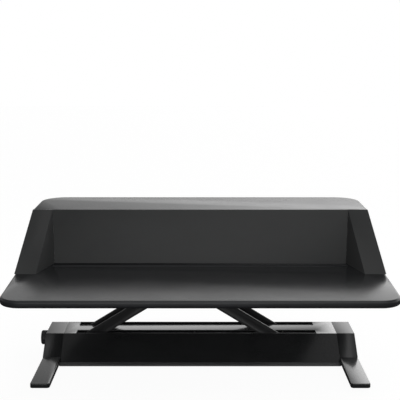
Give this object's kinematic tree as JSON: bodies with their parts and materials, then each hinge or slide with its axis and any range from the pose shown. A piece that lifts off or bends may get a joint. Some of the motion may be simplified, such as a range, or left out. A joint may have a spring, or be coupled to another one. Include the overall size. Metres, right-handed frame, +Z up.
{
  "type": "standing desk converter",
  "caption": "Height-adjustable desk-top workstation: a scissor lift in a low base raises a wide worktop with a raised monitor shelf and a device slot.",
  "frame": {"origin": "on the desk under the middle of the footprint, lift part way up", "axes": "+X to the user's right, +Y away from the user, +Z up"},
  "size_m": [0.832, 0.616, 0.3716],
  "materials": {
    "worktop_laminate": "satin black laminate on fibreboard",
    "edge_band": "satin black edge band",
    "panel_finish": "satin black powder coat",
    "slot_plastic": "satin black moulding",
    "base_paint": "black powder coat",
    "base_plastic": "fine textured black moulding",
    "trim_plastic": "black moulding",
    "arm_paint": "satin black powder coat",
    "steel_light": "satin dark grey coat",
    "zinc_steel": "zinc plated",
    "shaft_steel": "ground steel",
    "spring_steel": "oiled spring steel",
    "screw_steel": "black zinc plated",
    "nylon": "natural nylon",
    "rubber": "matt black rubber"
  },
  "bodies": {
    "base": {"base_plate": "steel_light", "base_cover": "base_paint", "end_cap_left": "base_plastic", "end_cap_right": "base_plastic", "foot_left": "base_paint", "foot_right": "base_paint", "foot_pads": "rubber", "slot_trim_front": "trim_plastic", "slot_trim_rear": "trim_plastic", "lower_rails": "zinc_steel", "lower_pivot_bracket": "zinc_steel", "lower_pivot_shaft": "shaft_steel", "lower_pivot_clips": "shaft_steel", "screw_bracket": "zinc_steel", "base_screws": "screw_steel"},
    "inner_arms": {"inner_arm_front": "arm_paint", "inner_arm_rear": "arm_paint", "inner_cross_tube": "arm_paint", "centre_pivot_shaft": "shaft_steel", "centre_pivot_clips": "shaft_steel", "centre_spacers": "nylon", "inner_arm_bushes": "nylon"},
    "outer_arms": {"outer_arm_front": "arm_paint", "outer_arm_rear": "arm_paint", "outer_cross_tube": "arm_paint", "outer_arm_bushes": "nylon", "brake_sector": "zinc_steel"},
    "lower_carriage": {"lower_axle": "shaft_steel", "spring_yoke": "zinc_steel", "lower_axle_clips": "shaft_steel"},
    "lower_roller_front": {"lower_roller_front": "nylon"},
    "lower_roller_rear": {"lower_roller_rear": "nylon"},
    "upper_carriage": {"upper_axle": "shaft_steel", "upper_axle_clips": "shaft_steel"},
    "upper_roller_front": {"upper_roller_front": "nylon"},
    "upper_roller_rear": {"upper_roller_rear": "nylon"},
    "platform": {"worktop": "worktop_laminate", "worktop_edge": "edge_band", "device_slot_insert": "slot_plastic", "riser_panel": "panel_finish", "pillar_left": "panel_finish", "pillar_right": "panel_finish", "monitor_shelf": "worktop_laminate", "shelf_edge": "edge_band", "upper_rails": "zinc_steel", "upper_pivot_brackets": "zinc_steel", "upper_pivot_shaft": "shaft_steel", "support_bracket_left": "arm_paint", "support_bracket_right": "arm_paint", "rear_crossbar": "arm_paint", "platform_screws": "screw_steel"},
    "release_lever": {"release_rod": "shaft_steel", "paddle_left": "trim_plastic", "paddle_right": "trim_plastic", "brake_shoe": "nylon"},
    "tension_screw": {"tension_knob": "trim_plastic", "lead_screw": "shaft_steel"},
    "spring_anchor": {"spring_anchor": "zinc_steel", "extension_springs": "spring_steel"}
  },
  "joints": [
    {"name": "lift_pivot", "type": "hinge", "parent": "base", "child": "inner_arms", "pos_m": [-0.292, 0.175, 0.034], "axis": [0, -1, 0], "range_deg": [-24.5, 28.3], "deforming": ["extension_springs"]},
    {"name": "scissor_pivot", "type": "hinge", "parent": "inner_arms", "child": "outer_arms", "pos_m": [-0.04399, 0.175, 0.18718], "axis": [0, -1, 0], "range_deg": [-57.2, 49.6]},
    {"name": "platform_pivot", "type": "hinge", "parent": "outer_arms", "child": "platform", "pos_m": [-0.292, 0.175, 0.34035], "axis": [0, -1, 0], "range_deg": [-24.8, 28.6]},
    {"name": "lower_carriage_pivot", "type": "hinge", "parent": "outer_arms", "child": "lower_carriage", "pos_m": [0.20402, 0.175, 0.034], "axis": [0, -1, 0], "range_deg": [-24.8, 28.6], "deforming": ["extension_springs"]},
    {"name": "upper_carriage_pivot", "type": "hinge", "parent": "inner_arms", "child": "upper_carriage", "pos_m": [0.20402, 0.175, 0.34035], "axis": [0, -1, 0], "range_deg": [-28.6, 24.8]},
    {"name": "lower_roller_front_spin", "type": "hinge", "parent": "lower_carriage", "child": "lower_roller_front", "pos_m": [0.20402, 0.175, 0.034], "axis": [0, -1, 0], "continuous": true},
    {"name": "lower_roller_rear_spin", "type": "hinge", "parent": "lower_carriage", "child": "lower_roller_rear", "pos_m": [0.20402, 0.175, 0.034], "axis": [0, -1, 0], "continuous": true},
    {"name": "upper_roller_front_spin", "type": "hinge", "parent": "upper_carriage", "child": "upper_roller_front", "pos_m": [0.20402, 0.175, 0.34035], "axis": [0, -1, 0], "continuous": true},
    {"name": "upper_roller_rear_spin", "type": "hinge", "parent": "upper_carriage", "child": "upper_roller_rear", "pos_m": [0.20402, 0.175, 0.34035], "axis": [0, -1, 0], "continuous": true},
    {"name": "release_squeeze", "type": "hinge", "parent": "platform", "child": "release_lever", "pos_m": [0, 0.11, 0.3436], "axis": [-1, 0, 0], "range_deg": [0, 9], "stiffness_Nm_per_rad": 1.5, "springref_deg": -22.92},
    {"name": "tension_turn", "type": "hinge", "parent": "base", "child": "tension_screw", "pos_m": [-0.38, 0.175, 0.03], "axis": [1, 0, 0], "range_deg": [-1085, 1085]},
    {"name": "anchor_slide", "type": "slide", "parent": "base", "child": "spring_anchor", "axis": [1, 0, 0], "range_m": [-0.0045, 0.0045], "deforming": ["extension_springs"]}
  ],
  "couplings": [
    {"joint": "scissor_pivot", "follows": "lift_pivot", "ratio": -2},
    {"joint": "platform_pivot", "follows": "lift_pivot", "ratio": 1},
    {"joint": "lower_carriage_pivot", "follows": "lift_pivot", "ratio": 1},
    {"joint": "upper_carriage_pivot", "follows": "lift_pivot", "ratio": -1},
    {"joint": "tension_turn", "follows": "anchor_slide", "rad_per_m": -4188.8}
  ]
}
